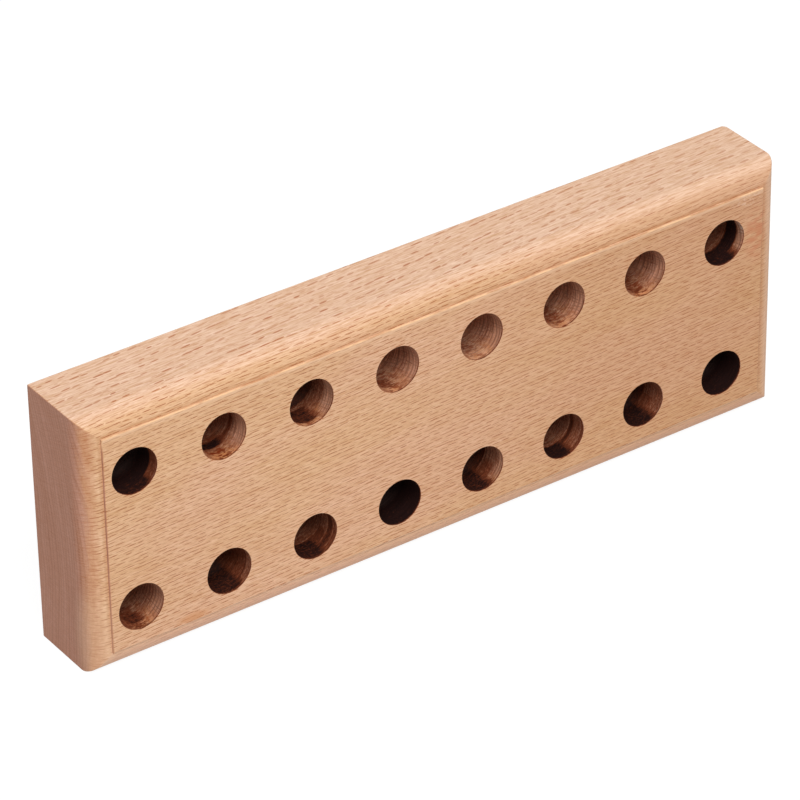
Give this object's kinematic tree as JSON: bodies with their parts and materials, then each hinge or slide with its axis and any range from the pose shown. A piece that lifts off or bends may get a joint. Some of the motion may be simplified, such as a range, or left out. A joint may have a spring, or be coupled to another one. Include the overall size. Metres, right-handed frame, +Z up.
{
  "type": "pliers holder",
  "caption": "Wooden block with two rows of blind round sockets that hold pliers by their handles, and a stepped round-over moulding round the drilled face.",
  "frame": {"origin": "middle of the long narrow face that the block stands on", "axes": "+X along the block's length; +Z up, across the two rows; the sockets open towards -Y. In use the block is also laid on its back, with the sockets upward"},
  "size_m": [0.265, 0.03, 0.092],
  "materials": {
    "beech": "planed and sanded, without varnish"
  },
  "bodies": {
    "root": {"block": "beech"}
  },
  "joints": []
}
